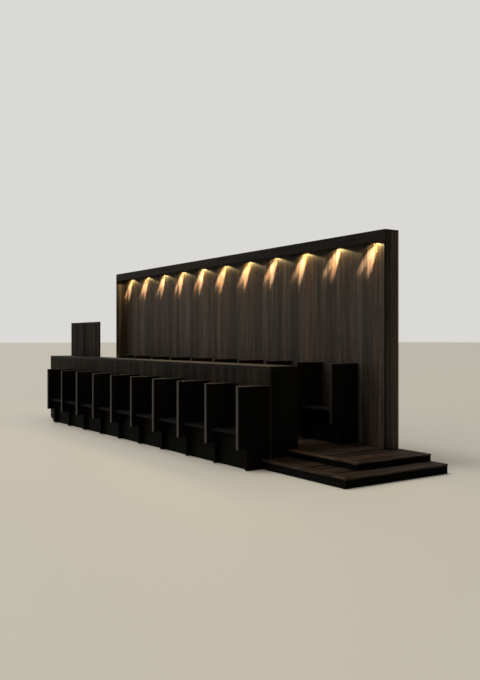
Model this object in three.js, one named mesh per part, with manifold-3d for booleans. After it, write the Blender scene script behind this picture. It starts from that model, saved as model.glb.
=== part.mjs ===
// One bank of church choir stalls: two rows of fixed seats on a stepped platform, a book desk
// between the rows, and a tall panelled wall with a row of small lamps behind the rear row.
// Millimetres, +Z up. The front faces -Y, the wall side +Y, and +X is the end with the open step.
// The origin is on the floor under the middle of the bank.
import * as THREE from 'three';
import { mergeVertices } from 'three/addons/utils/BufferGeometryUtils.js';
import Module from 'manifold-3d';

const wasm = await Module();
wasm.setup();

// Driving dimensions along the bank
const SEAT_PITCH = 700;
const SEATS = 9;
const STEP_END_RUN = 1450;          // platform beyond the seats and desk, at +X
const DECK_SETBACK = 250;           // from the platform's +X edge to the deck's
const DESK_LENGTH = 7430;
const DESK_OVERRUN = 300;           // desk and screen beyond the platform's far edge, at -X
const PLINTH_FAR_RUN = 200;         // front plinth beyond the last divider, at -X
const PANEL_BAYS = 11;              // a bay for each seat and one more at both ends

// Driving dimensions from front to back
const BANK_DEPTH = 1960;
const FOOT_RECESS = 130;            // a foot's front edge behind the divider's over it
const PLINTH_RECESS = 185;
const PLATFORM_SETBACK = 355;
const DECK_FRONT = 760;
const DESK_DEPTH = 440;
const REAR_ROW_SETBACK = 1450;
const WALL_PLANE = 1725;            // front of the panelling's fascia and end returns
const FRAME_DEPTH = 25;

// Driving heights
const PLATFORM_HEIGHT = 115;
const DECK_HEIGHT = 200;
const SEAT_HEIGHT = 455;
const DIVIDER_FOOT = 260;           // underside of a divider over the floor it serves
const FRONT_DIVIDER_TOP = 1005;
const REAR_DIVIDER_TOP = 1250;
const DESK_TOP = 1230;
const SHELF_TOP = 985;
const SCREEN_TOP = 1900;
const PANELLING_TOP = 2915;
const FASCIA_HEIGHT = 137;

// Board sizes
const DIVIDER_DEPTH = 465;
const DIVIDER_BOARD = 42;
const DESK_BOARD = 30;
const SEAT_BOARD = 35;
const SEAT_RECESS = 60;             // seat's front edge behind the divider's
const RISER_RECESS = 190;
const RISER_BOARD = 25;
const PANEL_BOARD = 20;
const SCREEN_JOINT = 4;
const EDGE_GAP = 0.3;               // between boards and the platform edge beside them
const SHELF_BAYS = 4;
const BATTEN_WIDTH = 70;
const FRAME_ROWS = 4;
const RAIL_SIZE = 36;
const LAMP_RADIUS = 24;
const LAMP_BOTTOM = 2810;
const LAMP_SETBACK = 1850;

// Places worked out from them; X runs along the bank and Y from its front edge back
const X_MAX = (STEP_END_RUN + DESK_LENGTH) / 2;
const DESK_X_MIN = -X_MAX;
const PLATFORM_X_MIN = DESK_X_MIN + DESK_OVERRUN;
const FRONT = -BANK_DEPTH / 2;
const BACK = BANK_DEPTH / 2;
const NEAR_END = X_MAX - STEP_END_RUN;
const FIRST_DIVIDER = NEAR_END - DIVIDER_BOARD / 2;
const LAST_DIVIDER = FIRST_DIVIDER - SEATS * SEAT_PITCH;
const FAR_END = LAST_DIVIDER - DIVIDER_BOARD / 2;
const ROW_CENTRE = (FIRST_DIVIDER + LAST_DIVIDER) / 2;
const DESK_FRONT = FRONT + DIVIDER_DEPTH;
const DESK_BACK = DESK_FRONT + DESK_DEPTH;
const DESK_BACK_INNER = DESK_BACK - DESK_BOARD;
const DESK_UNDER_TOP = DESK_TOP - DESK_BOARD;
const PANEL_FACE = FRONT + REAR_ROW_SETBACK + DIVIDER_DEPTH;
const PANEL_X_MAX = ROW_CENTRE + PANEL_BAYS * SEAT_PITCH / 2;
const PANEL_X_MIN = PANEL_X_MAX - PANEL_BAYS * SEAT_PITCH;
const PANELLING_UNDER_TOP = PANELLING_TOP - PANEL_BOARD;
const SCREEN_X_MAX = DESK_X_MIN + 2 * SEAT_PITCH;

const darkOak = new THREE.MeshStandardMaterial({ color: 0x2b221c, roughness: 0.6, metalness: 0 });
const platformOak = new THREE.MeshStandardMaterial({ color: 0x231c18, roughness: 0.65, metalness: 0 });
const battenWood = new THREE.MeshStandardMaterial({ color: 0x54402f, roughness: 0.8, metalness: 0 });
const lampMetal = new THREE.MeshStandardMaterial({ color: 0x1c1a19, roughness: 0.4, metalness: 0.8 });

// A box from one corner to the opposite one
function block(low, high) {
  const size = high.map((value, axis) => value - low[axis]);
  const geometry = new THREE.BoxGeometry(...size);
  return geometry.translate(...low.map((value, axis) => value + size[axis] / 2));
}

// An outline of [y, z] points, counterclockwise, carried along X
function profile(points, xLow, xHigh) {
  const shape = new THREE.Shape(points.map(([y, z]) => new THREE.Vector2(y, z)));
  const geometry = new THREE.ExtrudeGeometry(shape, { depth: xHigh - xLow, bevelEnabled: false });
  const alongX = new THREE.Matrix4().makeBasis(
    new THREE.Vector3(0, 1, 0),
    new THREE.Vector3(0, 0, 1),
    new THREE.Vector3(1, 0, 0),
  );
  return geometry.applyMatrix4(alongX).translate(xLow, 0, 0);
}

function toSolid(geometry) {
  const bare = geometry.clone();
  bare.deleteAttribute('normal');
  bare.deleteAttribute('uv');
  const merged = mergeVertices(bare, 0.001);
  return new wasm.Manifold(new wasm.Mesh({
    numProp: 3,
    vertProperties: new Float32Array(merged.attributes.position.array),
    triVerts: new Uint32Array(merged.index.array),
  }));
}

function fromSolid(solid) {
  const mesh = solid.getMesh();
  const geometry = new THREE.BufferGeometry();
  geometry.setAttribute('position', new THREE.BufferAttribute(mesh.vertProperties, 3));
  geometry.setIndex(new THREE.BufferAttribute(mesh.triVerts, 1));
  return geometry;
}

// Several overlapping shapes as one body
function joined(geometries) {
  return fromSolid(geometries.map(toSolid).reduce((whole, next) => whole.add(next)));
}

// A shape with others taken out of it
function pierced(geometry, holes) {
  return fromSolid(holes.map(toSolid).reduce((whole, hole) => whole.subtract(hole), toSolid(geometry)));
}

function piece(name, geometry, material) {
  const mesh = new THREE.Mesh(geometry, material);
  mesh.name = name;
  return mesh;
}

function lowerPlatform() {
  const low = [PLATFORM_X_MIN, FRONT + PLATFORM_SETBACK, 0];
  return piece('lower_platform', block(low, [X_MAX, BACK, PLATFORM_HEIGHT]), platformOak);
}

function upperDeck() {
  const low = [PLATFORM_X_MIN, FRONT + DECK_FRONT, PLATFORM_HEIGHT];
  return piece('upper_deck', block(low, [X_MAX - DECK_SETBACK, BACK, DECK_HEIGHT]), platformOak);
}

// A foot under each divider, standing forward of the plinth
function feet(front, floor) {
  const blocks = [];
  for (let i = 0; i <= SEATS; i += 1) {
    const centre = FIRST_DIVIDER - i * SEAT_PITCH;
    const low = [centre - DIVIDER_BOARD / 2, front + FOOT_RECESS, floor];
    const high = [centre + DIVIDER_BOARD / 2, front + PLINTH_RECESS + DIVIDER_BOARD, floor + DIVIDER_FOOT];
    blocks.push(block(low, high));
  }
  return blocks;
}

// The front row's base stands on the floor and laps over the platform's edge
function frontPlinth() {
  const step = FRONT + PLATFORM_SETBACK;
  const outline = [
    [FRONT + PLINTH_RECESS, 0],
    [step, 0],
    [step, PLATFORM_HEIGHT],
    [DESK_FRONT, PLATFORM_HEIGHT],
    [DESK_FRONT, DIVIDER_FOOT],
    [FRONT + PLINTH_RECESS, DIVIDER_FOOT],
  ];
  const base = profile(outline, FAR_END - PLINTH_FAR_RUN, NEAR_END);
  return piece('front_plinth', joined([base, ...feet(FRONT, 0)]), darkOak);
}

function rearPlinth() {
  const front = FRONT + REAR_ROW_SETBACK;
  const low = [FAR_END, front + PLINTH_RECESS, DECK_HEIGHT];
  const base = block(low, [NEAR_END, PANEL_FACE, DECK_HEIGHT + DIVIDER_FOOT]);
  return piece('rear_plinth', joined([base, ...feet(front, DECK_HEIGHT)]), darkOak);
}

// The seat board and its riser, from the first divider to the last
function bench(name, front, floor) {
  const seat = floor + SEAT_HEIGHT;
  const base = floor + DIVIDER_FOOT;
  const back = front + DIVIDER_DEPTH;
  const outline = [
    [front + RISER_RECESS, base],
    [front + RISER_RECESS + RISER_BOARD, base],
    [front + RISER_RECESS + RISER_BOARD, seat - SEAT_BOARD],
    [back, seat - SEAT_BOARD],
    [back, seat],
    [front + SEAT_RECESS, seat],
    [front + SEAT_RECESS, seat - SEAT_BOARD],
    [front + RISER_RECESS, seat - SEAT_BOARD],
  ];
  const inner = DIVIDER_BOARD / 2;
  return piece(name, profile(outline, LAST_DIVIDER + inner, FIRST_DIVIDER - inner), darkOak);
}

// A divider between two seats is cut away for the bench, and an end divider is a whole board
function dividerOutline(front, floor, top, isEnd) {
  const base = floor + DIVIDER_FOOT;
  const back = front + DIVIDER_DEPTH;
  if (isEnd) {
    return [[front, base], [back, base], [back, top], [front, top]];
  }
  const seat = floor + SEAT_HEIGHT;
  return [
    [front, base],
    [front + RISER_RECESS, base],
    [front + RISER_RECESS, seat - SEAT_BOARD],
    [front + SEAT_RECESS, seat - SEAT_BOARD],
    [front + SEAT_RECESS, seat],
    [back, seat],
    [back, top],
    [front, top],
  ];
}

function dividers(row, front, floor, top) {
  const boards = [];
  for (let i = 0; i <= SEATS; i += 1) {
    const centre = FIRST_DIVIDER - i * SEAT_PITCH;
    const outline = dividerOutline(front, floor, top, i === 0 || i === SEATS);
    const geometry = profile(outline, centre - DIVIDER_BOARD / 2, centre + DIVIDER_BOARD / 2);
    boards.push(piece(`${row}_divider_${String(i + 1).padStart(2, '0')}`, geometry, darkOak));
  }
  return boards;
}

// Past the platform's far edge the desk and the high screen stand on the floor
function deskFrontBoard() {
  const back = DESK_FRONT + DESK_BOARD;
  const over = block([DESK_X_MIN, DESK_FRONT, PLATFORM_HEIGHT], [NEAR_END, back, DESK_UNDER_TOP]);
  const past = block([DESK_X_MIN, DESK_FRONT, 0], [PLATFORM_X_MIN - EDGE_GAP, back, DESK_UNDER_TOP]);
  return piece('desk_front_board', joined([over, past]), darkOak);
}

function deskTop() {
  const low = [DESK_X_MIN, DESK_FRONT, DESK_UNDER_TOP];
  return piece('desk_top', block(low, [NEAR_END, DESK_BACK, DESK_TOP]), darkOak);
}

// The near end board is stepped under, because it stands half on the platform and half on the deck
function deskNearEnd() {
  const step = FRONT + DECK_FRONT;
  const outline = [
    [DESK_FRONT + DESK_BOARD, PLATFORM_HEIGHT],
    [step, PLATFORM_HEIGHT],
    [step, DECK_HEIGHT],
    [DESK_BACK, DECK_HEIGHT],
    [DESK_BACK, DESK_UNDER_TOP],
    [DESK_FRONT + DESK_BOARD, DESK_UNDER_TOP],
  ];
  return piece('desk_end_near', profile(outline, NEAR_END - DESK_BOARD, NEAR_END), darkOak);
}

function deskFarEnd() {
  const low = [DESK_X_MIN, DESK_FRONT + DESK_BOARD, 0];
  return piece('desk_end_far', block(low, [DESK_X_MIN + DESK_BOARD, DESK_BACK, DESK_UNDER_TOP]), darkOak);
}

function deskRearBoard() {
  const low = [DESK_X_MIN + DESK_BOARD, DESK_BACK_INNER, DECK_HEIGHT];
  const high = [NEAR_END - DESK_BOARD, DESK_BACK, SHELF_TOP - DESK_BOARD];
  return piece('desk_rear_board', block(low, high), darkOak);
}

// The book shelf under the desk's top, open to the aisle, with the uprights that carry the top
function deskBookShelf() {
  const xLow = DESK_X_MIN + DESK_BOARD;
  const xHigh = NEAR_END - DESK_BOARD;
  const yLow = DESK_FRONT + DESK_BOARD;
  const shelf = block([xLow, yLow, SHELF_TOP - DESK_BOARD], [xHigh, DESK_BACK, SHELF_TOP]);
  const uprights = [];
  for (let i = 0; i < SHELF_BAYS; i += 1) {
    const x = SCREEN_X_MAX + i * (xHigh - SCREEN_X_MAX) / SHELF_BAYS;
    const low = [x - DESK_BOARD / 2, yLow, SHELF_TOP - DESK_BOARD / 2];
    uprights.push(block(low, [x + DESK_BOARD / 2, DESK_BACK, DESK_UNDER_TOP]));
  }
  return piece('desk_book_shelf', joined([shelf, ...uprights]), darkOak);
}

// Two tall boards side by side behind the desk, over its last two seats
function highScreen() {
  const middle = DESK_X_MIN + SEAT_PITCH;
  const back = DESK_BACK + DESK_BOARD;
  const leaf = (xLow, xHigh, foot) => block([xLow, DESK_BACK, foot], [xHigh, back, SCREEN_TOP]);
  const farLeaf = joined([
    leaf(DESK_X_MIN, middle - SCREEN_JOINT / 2, DECK_HEIGHT),
    leaf(DESK_X_MIN, PLATFORM_X_MIN - EDGE_GAP, 0),
  ]);
  return [
    piece('high_screen_far', farLeaf, darkOak),
    piece('high_screen_near', leaf(middle + SCREEN_JOINT / 2, SCREEN_X_MAX, DECK_HEIGHT), darkOak),
  ];
}

function wallPanelling() {
  const low = [PANEL_X_MIN, PANEL_FACE, DECK_HEIGHT];
  const high = [PANEL_X_MAX, PANEL_FACE + PANEL_BOARD, PANELLING_UNDER_TOP];
  return piece('wall_panelling', block(low, high), darkOak);
}

function panellingReturn(name, xLow) {
  const low = [xLow, FRONT + WALL_PLANE + PANEL_BOARD, DECK_HEIGHT];
  const high = [xLow + PANEL_BOARD, PANEL_FACE, PANELLING_UNDER_TOP];
  return piece(name, block(low, high), darkOak);
}

// The front edge of each return
function returnTrim(name, xLow) {
  const low = [xLow, FRONT + WALL_PLANE, DECK_HEIGHT];
  const high = [xLow + PANEL_BOARD, FRONT + WALL_PLANE + PANEL_BOARD, PANELLING_TOP - FASCIA_HEIGHT];
  return piece(name, block(low, high), darkOak);
}

function coveFascia() {
  const low = [PANEL_X_MIN, FRONT + WALL_PLANE, PANELLING_TOP - FASCIA_HEIGHT];
  const high = [PANEL_X_MAX, FRONT + WALL_PLANE + PANEL_BOARD, PANELLING_TOP];
  return piece('cove_fascia', block(low, high), darkOak);
}

function coveTop() {
  const low = [PANEL_X_MIN, FRONT + WALL_PLANE + PANEL_BOARD, PANELLING_UNDER_TOP];
  return piece('cove_top', block(low, [PANEL_X_MAX, BACK, PANELLING_TOP]), darkOak);
}

// The lattice of battens that holds the panelling off the wall
function backFrame() {
  const yLow = BACK - FRAME_DEPTH;
  const past = FRAME_DEPTH / 2;
  const stride = (PANEL_X_MAX - PANEL_X_MIN - BATTEN_WIDTH) / PANEL_BAYS;
  const rise = (PANELLING_UNDER_TOP - DECK_HEIGHT - BATTEN_WIDTH) / FRAME_ROWS;
  const gaps = [];
  for (let i = 0; i < PANEL_BAYS; i += 1) {
    for (let j = 0; j < FRAME_ROWS; j += 1) {
      const x = PANEL_X_MIN + i * stride;
      const z = DECK_HEIGHT + j * rise;
      const low = [x + BATTEN_WIDTH, yLow - past, z + BATTEN_WIDTH];
      gaps.push(block(low, [x + stride, BACK + past, z + rise]));
    }
  }
  const sheet = block([PANEL_X_MIN, yLow, DECK_HEIGHT], [PANEL_X_MAX, BACK, PANELLING_UNDER_TOP]);
  return piece('back_frame', pierced(sheet, gaps), battenWood);
}

// One rail under the cove's top carries a small lamp in the middle of each bay
function lampRow() {
  const y = FRONT + LAMP_SETBACK;
  const railBottom = PANELLING_UNDER_TOP - RAIL_SIZE;
  const reach = SEAT_PITCH / 4;
  const low = [PANEL_X_MIN + reach, y - RAIL_SIZE / 2, railBottom];
  const rail = block(low, [PANEL_X_MAX - reach, y + RAIL_SIZE / 2, PANELLING_UNDER_TOP]);
  const lamps = [];
  const overlap = RAIL_SIZE / 2;
  const length = railBottom + overlap - LAMP_BOTTOM;
  for (let i = 0; i < PANEL_BAYS; i += 1) {
    const can = new THREE.CylinderGeometry(LAMP_RADIUS, LAMP_RADIUS, length, 24);
    can.rotateX(Math.PI / 2);
    can.translate(PANEL_X_MAX - (i + 0.5) * SEAT_PITCH, y, LAMP_BOTTOM + length / 2);
    lamps.push(can);
  }
  return piece('lamp_row', joined([rail, ...lamps]), lampMetal);
}

const bank = new THREE.Group();
bank.add(
  lowerPlatform(),
  upperDeck(),
  frontPlinth(),
  bench('front_bench', FRONT, 0),
  ...dividers('front', FRONT, 0, FRONT_DIVIDER_TOP),
  deskFrontBoard(),
  deskTop(),
  deskNearEnd(),
  deskFarEnd(),
  deskRearBoard(),
  deskBookShelf(),
  ...highScreen(),
  rearPlinth(),
  bench('rear_bench', FRONT + REAR_ROW_SETBACK, DECK_HEIGHT),
  ...dividers('rear', FRONT + REAR_ROW_SETBACK, DECK_HEIGHT, REAR_DIVIDER_TOP),
  wallPanelling(),
  panellingReturn('panelling_return_near', PANEL_X_MAX - PANEL_BOARD),
  panellingReturn('panelling_return_far', PANEL_X_MIN),
  returnTrim('return_trim_near', PANEL_X_MAX - PANEL_BOARD),
  returnTrim('return_trim_far', PANEL_X_MIN),
  coveFascia(),
  coveTop(),
  backFrame(),
  lampRow(),
);

export default bank;
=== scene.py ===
"""Dresses one bank of church choir stalls: dark stained oak boards, small lamps and the battens behind.

All sizes are metres in the part's own frame. X runs along the bank, with the open step at its high end,
Y runs from the front row back to the wall, and Z is up from the floor.
"""

import logging
import math
import random
from collections.abc import Sequence
from dataclasses import dataclass
from enum import Enum

import bmesh
import bpy
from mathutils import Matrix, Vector


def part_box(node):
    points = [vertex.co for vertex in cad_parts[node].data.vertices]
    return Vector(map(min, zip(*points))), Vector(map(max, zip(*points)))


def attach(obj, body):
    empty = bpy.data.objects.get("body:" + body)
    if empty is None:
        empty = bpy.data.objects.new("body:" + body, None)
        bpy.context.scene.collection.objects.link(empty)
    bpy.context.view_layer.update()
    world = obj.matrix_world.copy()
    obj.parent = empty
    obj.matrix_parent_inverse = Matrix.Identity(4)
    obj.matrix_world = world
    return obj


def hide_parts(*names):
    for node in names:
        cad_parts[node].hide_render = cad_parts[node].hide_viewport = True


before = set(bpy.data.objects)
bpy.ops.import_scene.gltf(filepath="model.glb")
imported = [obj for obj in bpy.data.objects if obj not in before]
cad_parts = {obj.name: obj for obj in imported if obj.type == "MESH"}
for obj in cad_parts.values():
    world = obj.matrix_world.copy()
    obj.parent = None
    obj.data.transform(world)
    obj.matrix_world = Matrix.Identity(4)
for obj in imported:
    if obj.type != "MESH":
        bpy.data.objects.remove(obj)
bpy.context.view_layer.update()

BODY = "root"
SEATS = 9
IMAGE_WIDTH = 480
IMAGE_HEIGHT = 680

# What each point of a piece keeps for its finish
GRAIN_PLACE = "grain_place"
BOARD_TONE = "board_tone"
FROM_LOW = "from_low_corner"
FROM_HIGH = "from_high_corner"
FROM_AXIS = "from_lens_axis"
GRAIN_WAY = "grain_way"

# The colour sockets of a Mix node by number, because its other sockets have the same names
SHARE, FIRST, SECOND, MIXED = 0, 6, 7, 2
# The wave texture draws this many waves to a unit at a scale of one
WAVES_PER_UNIT = 20 / (2 * math.pi)
# A board width that leaves a run in one piece
WHOLE = math.inf
# The radius to which an edge is eased where nothing else is said
EASED = 0.0015
# How far up its tree, to the side and out from the heart a board may have been cut
CUT_FROM = ((0, 40), (-0.14, 0.14), (0.03, 0.2))
# A run's first board: its least share of a full length, the range on top, and the step that staggers it
FIRST_SHARE, FIRST_RANGE, GOLDEN_STEP = 0.35, 0.6, 0.618

Corner = Sequence[float]
Outline = Sequence[tuple[float, float]]
Tree = bpy.types.NodeTree
Node = bpy.types.Node
Socket = bpy.types.NodeSocket
Material = bpy.types.Material

log = logging.getLogger("stalls")


class Slot(Enum):
    """The record's material slots."""

    OAK = "dark_oak"
    PLATFORM = "platform_oak"
    SOFTWOOD = "batten_softwood"
    LAMP = "lamp_metal"


class Axis(Enum):
    """The three directions of the part's frame, by their place in a vector."""

    ALONG = 0
    DEEP = 1
    UPRIGHT = 2

    def lift(self, across: tuple[float, float], run: float) -> Vector:
        """Gives the point of a section, drawn square to this axis, at one place along it.

        Args:
            across: The point in the section.
            run: The place along the axis.

        Returns:
            The point in the part's frame.
        """
        point = list(across)
        point.insert(self.value, run)
        return Vector(point)

    def turned(self, place: Vector) -> Vector:
        """Gives a point's coordinates with the one along this axis first."""
        return Vector((place[self.value], place[(self.value + 1) % 3], place[(self.value + 2) % 3]))


def linear(colour: int) -> tuple[float, float, float, float]:
    """Turns an sRGB colour written as one hex number into linear light.

    Args:
        colour: The colour as 0xRRGGBB.

    Returns:
        The linear red, green and blue, and an alpha of one.
    """
    parts = [(colour >> shift & 0xFF) / 255 for shift in (16, 8, 0)]
    red, green, blue = (c / 12.92 if c <= 0.04045 else ((c + 0.055) / 1.055) ** 2.4 for c in parts)
    return red, green, blue, 1.0


def round_outline(radius: float, sides: int, x: float = 0.0, y: float = 0.0) -> list[tuple[float, float]]:
    """Gives the corners of a round outline.

    Args:
        radius: Its radius.
        sides: How many corners it has.
        x: The first coordinate of its centre.
        y: The second one.

    Returns:
        The corners, in order.
    """
    turns = [math.tau * k / sides for k in range(sides)]
    return [(x + radius * math.cos(turn), y + radius * math.sin(turn)) for turn in turns]


def add_node(tree: Tree, kind: str, settings: dict | None = None, inputs: dict | None = None) -> Node:
    """Adds one node, with its settings and with what each of its sockets takes.

    Args:
        tree: The tree that gets the node.
        kind: The node's type, such as ShaderNodeMath.
        settings: The node's own properties by name.
        inputs: For each socket, by name or number, a value, the output that feeds it, or the node whose
            first output does.

    Returns:
        The new node.
    """
    node = tree.nodes.new(kind)
    for name, value in (settings or {}).items():
        setattr(node, name, value)
    for socket, value in (inputs or {}).items():
        taken = value.outputs[0] if isinstance(value, Node) else value
        if isinstance(taken, Socket):
            tree.links.new(taken, node.inputs[socket])
        else:
            node.inputs[socket].default_value = taken
    return node


class Finish:
    """A real material with the way its surface was made."""

    name: str

    def surface(self, tree: Tree) -> dict:
        """Lays out the nodes of the surface.

        Args:
            tree: The material's tree.

        Returns:
            What each socket of the surface shader takes, by the socket's name.
        """
        raise NotImplementedError

    def make(self) -> Material:
        """Builds the material.

        Returns:
            The finished material.
        """
        material = bpy.data.materials.new(self.name)
        material.use_nodes = True
        tree = material.node_tree
        tree.nodes.clear()
        shader = add_node(tree, "ShaderNodeBsdfPrincipled", inputs=self.surface(tree))
        add_node(tree, "ShaderNodeOutputMaterial", inputs={"Surface": shader})
        return material


@dataclass(frozen=True)
class Streaks:
    """Soft streaks along the grain: how long and how wide one is, and the noise that they are cut from."""

    length: float
    width: float
    detail: float
    raggedness: float = 0.6
    bend: float = 0.3

    def draw(self, tree: Tree, place: Socket) -> Node:
        """Draws the streaks.

        Args:
            tree: The material's tree.
            place: The point in the board's own coordinates, the first one along the grain.

        Returns:
            The node that gives them, from 0 to 1.
        """
        scaled = add_node(tree, "ShaderNodeVectorMath", {"operation": "MULTIPLY"},
                          {0: place, 1: (1 / self.length, 1 / self.width, 1 / self.width)})
        return add_node(tree, "ShaderNodeTexNoise", inputs={
            "Vector": scaled, "Scale": 1.0, "Detail": self.detail, "Roughness": self.raggedness,
            "Distortion": self.bend})


class RingEdge(Enum):
    """How a growth ring ends: blurred on both sides, or sharp on its late side."""

    BLURRED = "SIN"
    SHARP = "SAW"


@dataclass(frozen=True)
class GrowthRings:
    """Rings round the heart of the tree, drawn out along the trunk and bent as they bend there."""

    spacing: float
    edge: RingEdge
    drawn_out: float
    bend: float
    bend_scale: float
    bend_roughness: float = 0.5
    bend_detail: float = 2.0

    def draw(self, tree: Tree, place: Socket) -> Socket:
        """Draws the rings.

        Args:
            tree: The material's tree.
            place: The point in the board's own coordinates, the first one along the grain.

        Returns:
            The rings, from 0 to 1.
        """
        along = add_node(tree, "ShaderNodeVectorMath", {"operation": "MULTIPLY"},
                         {0: place, 1: (self.drawn_out, 1.0, 1.0)})
        wave = add_node(tree, "ShaderNodeTexWave",
                        {"wave_type": "RINGS", "rings_direction": "X", "wave_profile": self.edge.value},
                        {"Vector": along, "Scale": 1 / (WAVES_PER_UNIT * self.spacing),
                         "Detail": self.bend_detail, "Distortion": self.bend,
                         "Detail Scale": self.bend_scale, "Detail Roughness": self.bend_roughness})
        return wave.outputs["Fac"]


@dataclass(frozen=True)
class StainedOak(Finish):
    """Oak boards, planed, stained near black and rubbed with oil.

    The eye gets a dark brown ground with paler rings where the stain took less, fine black pores along the
    grain, a soft sheen, boards that differ a little in tone, and arrises where hands and shoes have worn
    the stain thin.
    """

    name: str
    stain: int
    ring: int
    rubbed: int
    roughness: float
    wear: float
    shine: float = 0.4
    contrast: float = 1.0
    ior: float = 1.5
    # Planed fibres spread the gloss across the grain, a quarter of a turn from it
    drawn_gloss: float = 0.5
    gloss_turn: float = 0.25
    wear_width: float = 0.004
    pore: int = 0x6A6260
    relief: float = 0.0003
    relief_strength: float = 0.5
    # Growth rings of 3 to 5 mm, drawn wider so that they show at the size of the render
    rings: GrowthRings = GrowthRings(0.013, RingEdge.SHARP, drawn_out=0.05, bend=5.0, bend_scale=0.35,
                                     bend_roughness=0.55)
    streaks: Streaks = Streaks(0.9, 0.022, detail=4.0)
    # Fibres and open pores of 0.3 mm, drawn wider for the same reason
    fibres: Streaks = Streaks(0.12, 0.0022, detail=2.0)
    pores: Streaks = Streaks(0.03, 0.0011, detail=0.0)
    worn_patches: Streaks = Streaks(0.22, 0.05, detail=2.0)
    # Where in their noise pores, worn patches, streaks and the streaks' gloss begin and are full
    pore_edges: tuple[float, float] = (0.56, 0.66)
    patch_edges: tuple[float, float] = (0.35, 0.62)
    streak_edges: tuple[float, float] = (0.34, 0.66)
    gloss_edges: tuple[float, float] = (0.3, 0.7)
    # What rings, fibres and streaks add to the mix of stain and ring colour
    ring_share: float = 0.35
    fibre_share: float = 0.3
    streak_shares: tuple[float, float] = (-0.3, 0.5)
    # How the streaks change the gloss, and how far boards differ in tone and in warmth
    roughness_change: tuple[float, float] = (-0.06, 0.08)
    tone_change: tuple[float, float] = (-0.38, 0.45)
    warmths: tuple[float, float] = (0.62, 1.12)
    # The share of the tones after which the warmths turn back
    warmth_fold: float = 0.13

    def surface(self, tree: Tree) -> dict:
        """Lays out the stained wood, its pores, its worn arrises and its gloss.

        Args:
            tree: The material's tree.

        Returns:
            What each socket of the surface shader takes.
        """
        place = add_node(tree, "ShaderNodeAttribute", {"attribute_name": GRAIN_PLACE}).outputs["Vector"]
        way = add_node(tree, "ShaderNodeAttribute", {"attribute_name": GRAIN_WAY}).outputs["Vector"]
        streaks = self.streaks.draw(tree, place)
        fibres = self.fibres.draw(tree, place)
        pores = add_node(tree, "ShaderNodeMapRange", {"interpolation_type": "SMOOTHSTEP"}, {
            "Value": self.pores.draw(tree, place), "From Min": self.pore_edges[0],
            "From Max": self.pore_edges[1]})
        wood = self._wood(tree, self.rings.draw(tree, place), streaks, fibres)
        rubbed = add_node(tree, "ShaderNodeMix", {"data_type": "RGBA"}, {
            SHARE: self._worn(tree, place), FIRST: wood, SECOND: linear(self.rubbed)}).outputs[MIXED]
        colour = add_node(tree, "ShaderNodeMix", {"data_type": "RGBA", "blend_type": "MULTIPLY"}, {
            SHARE: pores, FIRST: rubbed, SECOND: linear(self.pore)}).outputs[MIXED]
        roughness = add_node(tree, "ShaderNodeMapRange", inputs={
            "Value": streaks, "From Min": self.gloss_edges[0], "From Max": self.gloss_edges[1],
            "To Min": self.roughness + self.roughness_change[0],
            "To Max": self.roughness + self.roughness_change[1]})
        height = add_node(tree, "ShaderNodeMath", {"operation": "MULTIPLY_ADD"},
                          {0: pores, 1: -1.0, 2: fibres})
        relief = add_node(tree, "ShaderNodeBump", inputs={
            "Strength": self.relief_strength, "Distance": self.relief, "Height": height})
        return {"Base Color": colour, "Roughness": roughness, "IOR": self.ior,
                "Specular IOR Level": self.shine, "Anisotropic": self.drawn_gloss,
                "Anisotropic Rotation": self.gloss_turn, "Tangent": way, "Normal": relief}

    def _worn(self, tree: Tree, place: Socket) -> Node:
        """Finds where an arris has been rubbed, which is where a point is near two faces of its board.

        Args:
            tree: The material's tree.
            place: The point in the board's own coordinates.

        Returns:
            The node that gives how far the stain has worn away, from 0 to 1.
        """
        from_low = add_node(tree, "ShaderNodeAttribute", {"attribute_name": FROM_LOW}).outputs["Vector"]
        from_high = add_node(tree, "ShaderNodeAttribute", {"attribute_name": FROM_HIGH}).outputs["Vector"]
        nearest = add_node(tree, "ShaderNodeVectorMath", {"operation": "MINIMUM"},
                           {0: from_low, 1: from_high})
        x, y, z = add_node(tree, "ShaderNodeSeparateXYZ", inputs={0: nearest}).outputs
        least = add_node(tree, "ShaderNodeMath", {"operation": "MINIMUM"}, {0: x, 1: y})
        most = add_node(tree, "ShaderNodeMath", {"operation": "MAXIMUM"}, {0: x, 1: y})
        inner = add_node(tree, "ShaderNodeMath", {"operation": "MINIMUM"}, {0: most, 1: z})
        middle = add_node(tree, "ShaderNodeMath", {"operation": "MAXIMUM"}, {0: least, 1: inner})
        edge = add_node(tree, "ShaderNodeMapRange", {"interpolation_type": "SMOOTHSTEP"}, {
            "Value": middle, "From Min": 0.0, "From Max": self.wear_width,
            "To Min": self.wear, "To Max": 0.0})
        patches = add_node(tree, "ShaderNodeMapRange", inputs={
            "Value": self.worn_patches.draw(tree, place), "From Min": self.patch_edges[0],
            "From Max": self.patch_edges[1]})
        return add_node(tree, "ShaderNodeMath", {"operation": "MULTIPLY"}, {0: edge, 1: patches})

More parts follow.
